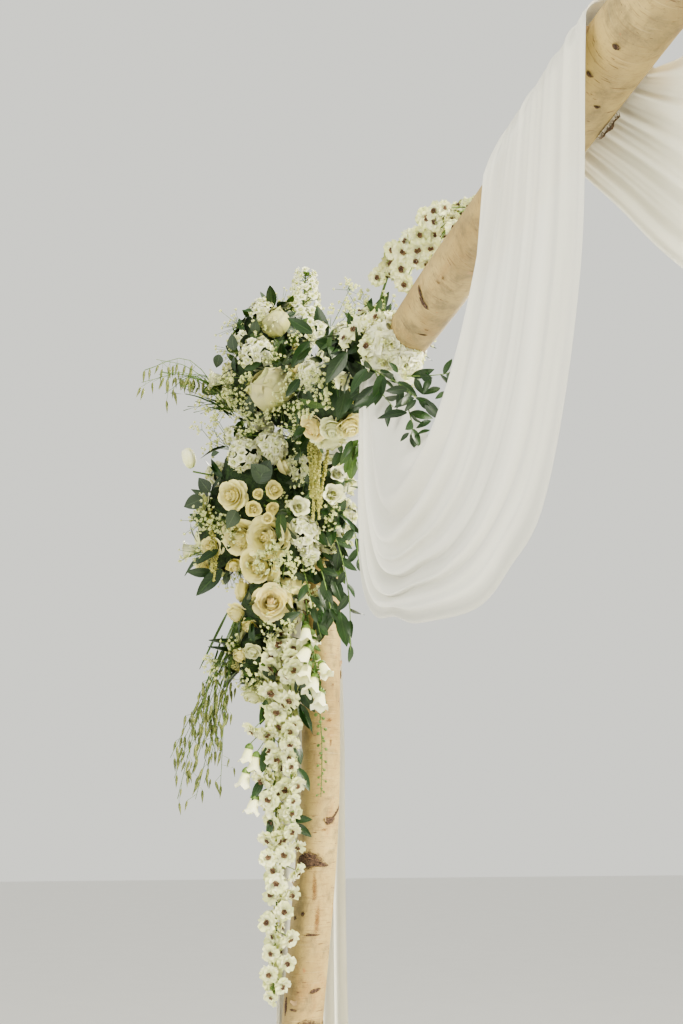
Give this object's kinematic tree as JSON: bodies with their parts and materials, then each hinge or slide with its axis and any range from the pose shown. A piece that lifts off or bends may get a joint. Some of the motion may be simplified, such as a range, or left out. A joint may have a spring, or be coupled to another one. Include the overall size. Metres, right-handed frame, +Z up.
{
  "type": "draped birch wedding arch",
  "caption": "Open frame of two upright birch posts and a round birch beam, wound with a sheer white scarf in swags and tails, with sprays of cut flowers at the corners.",
  "frame": {"origin": "centre of the sawn foot of the left post, at ground level", "axes": "+X along the beam from the left post to the right post, +Z up, -Y the front, where the pictured swag hangs"},
  "size_m": [3.22, 0.5371, 2.7459],
  "materials": {
    "birch_bark": "peeling natural bark, matt",
    "chiffon": "sheer soft weave",
    "zinc_steel": "dull zinc plated",
    "floral_foam": "open cage round wet foam",
    "strap": "matt",
    "petals": "soft fresh petals",
    "foliage": "satin leaves",
    "tassel": "woolly strings",
    "dry_straw": "dry matt spikelets"
  },
  "bodies": {
    "root": {"crossbeam": "birch_bark", "middle_beam_wrap": "chiffon", "front_swag": "chiffon", "back_swag": "chiffon", "left_post": "birch_bark", "left_coach_screw": "zinc_steel", "left_beam_wrap": "chiffon", "left_tail": "chiffon", "left_flower_cage": "floral_foam", "left_cage_strap": "strap", "left_heart_blooms": "petals", "left_crown_blooms": "petals", "left_lower_blooms": "petals", "left_shoulder_blooms": "petals", "left_beam_delphinium": "petals", "left_stock_spike": "petals", "left_long_trail": "petals", "left_short_trail": "petals", "left_foxglove_stem": "petals", "left_leaf_strand": "foliage", "left_shoulder_leaves": "foliage", "left_amaranth_tassel": "tassel", "left_upper_oat_spray": "dry_straw", "left_lower_oat_spray": "dry_straw", "right_post": "birch_bark", "right_coach_screw": "zinc_steel", "right_beam_wrap": "chiffon", "right_tail": "chiffon", "right_flower_cage": "floral_foam", "right_cage_strap": "strap", "right_heart_blooms": "petals", "right_crown_blooms": "petals", "right_lower_blooms": "petals", "right_shoulder_blooms": "petals", "right_beam_delphinium": "petals", "right_stock_spike": "petals", "right_long_trail": "petals", "right_short_trail": "petals", "right_foxglove_stem": "petals", "right_leaf_strand": "foliage", "right_shoulder_leaves": "foliage", "right_amaranth_tassel": "tassel", "right_upper_oat_spray": "dry_straw", "right_lower_oat_spray": "dry_straw"}
  },
  "joints": []
}
